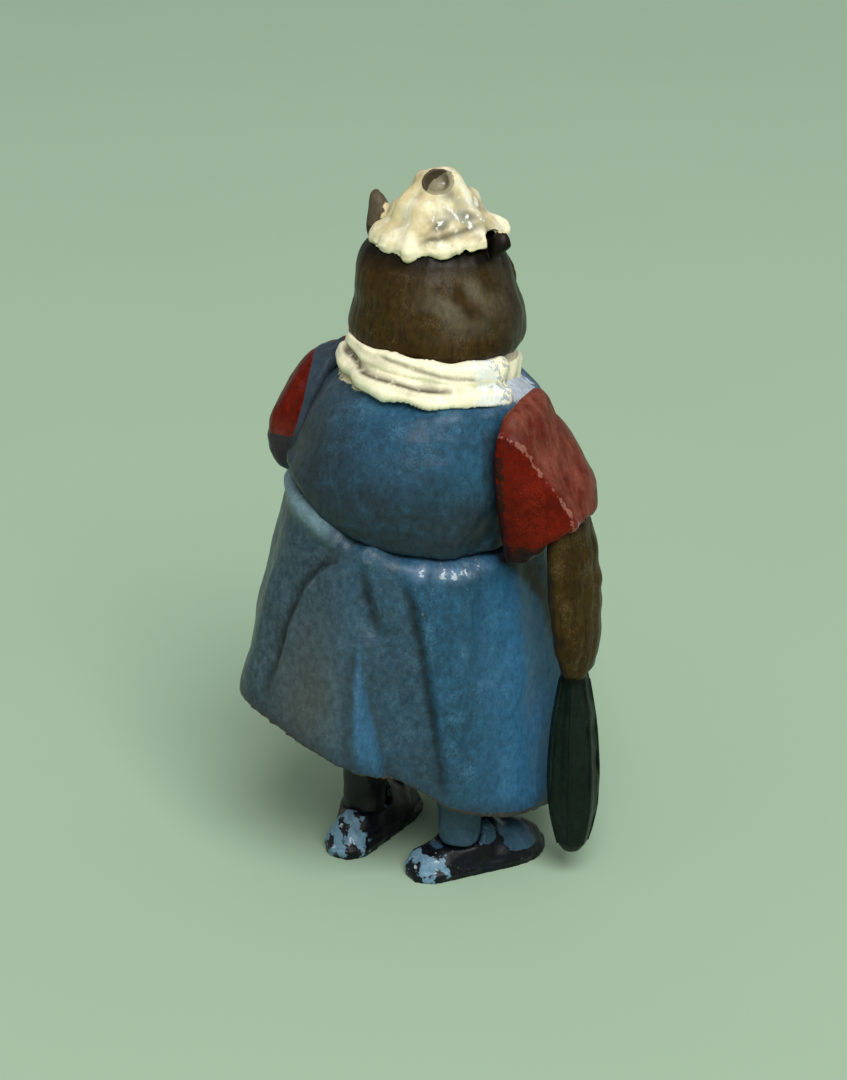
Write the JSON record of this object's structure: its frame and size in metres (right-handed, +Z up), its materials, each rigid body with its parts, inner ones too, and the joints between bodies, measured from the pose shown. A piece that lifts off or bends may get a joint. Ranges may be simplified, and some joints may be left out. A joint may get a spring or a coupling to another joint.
{
  "type": "lead owl figure",
  "caption": "Painted cast-metal toy owl standing in a long flared coat, kerchief and mob cap, with a furled umbrella; its head turns and its right arm swings.",
  "frame": {"origin": "middle of the figure's bounding box, on the ground under the soles", "axes": "+Z up; the owl faces -Y and its right side is -X"},
  "size_m": [0.0276, 0.025, 0.055],
  "materials": {
    "blue_enamel": "glossy, aged",
    "cream_enamel": "glossy, chipped",
    "brown_enamel": "glossy, streaked",
    "red_enamel": "glossy, chipped",
    "green_enamel": "glossy, dark",
    "black_enamel": "glossy, rubbed at the heels",
    "olive_enamel": "dull",
    "bare_lead": "bare dull grey lead"
  },
  "bodies": {
    "figure": {"coat_skirt": "blue_enamel", "coat_bodice": "blue_enamel", "skirt_plate": "bare_lead", "left_leg": "olive_enamel", "right_leg": "olive_enamel", "left_shoe": "black_enamel", "right_shoe": "black_enamel", "kerchief": "cream_enamel", "kerchief_knot": "cream_enamel", "left_sleeve": "red_enamel", "left_wing": "brown_enamel"},
    "head": {"head": "brown_enamel", "cap": "cream_enamel"},
    "right_arm": {"right_sleeve": "red_enamel", "right_wing": "brown_enamel", "umbrella_canopy": "green_enamel", "umbrella_handle": "olive_enamel"}
  },
  "joints": [
    {"name": "head_turn", "type": "hinge", "parent": "figure", "child": "head", "pos_m": [0.00021, -0.00195, 0.0413], "axis": [0, 0, 1], "continuous": true},
    {"name": "right_arm_swing", "type": "hinge", "parent": "figure", "child": "right_arm", "pos_m": [-0.00839, 0.00055, 0.0366], "axis": [-1, 0, 0], "range_deg": [0, 100]}
  ]
}
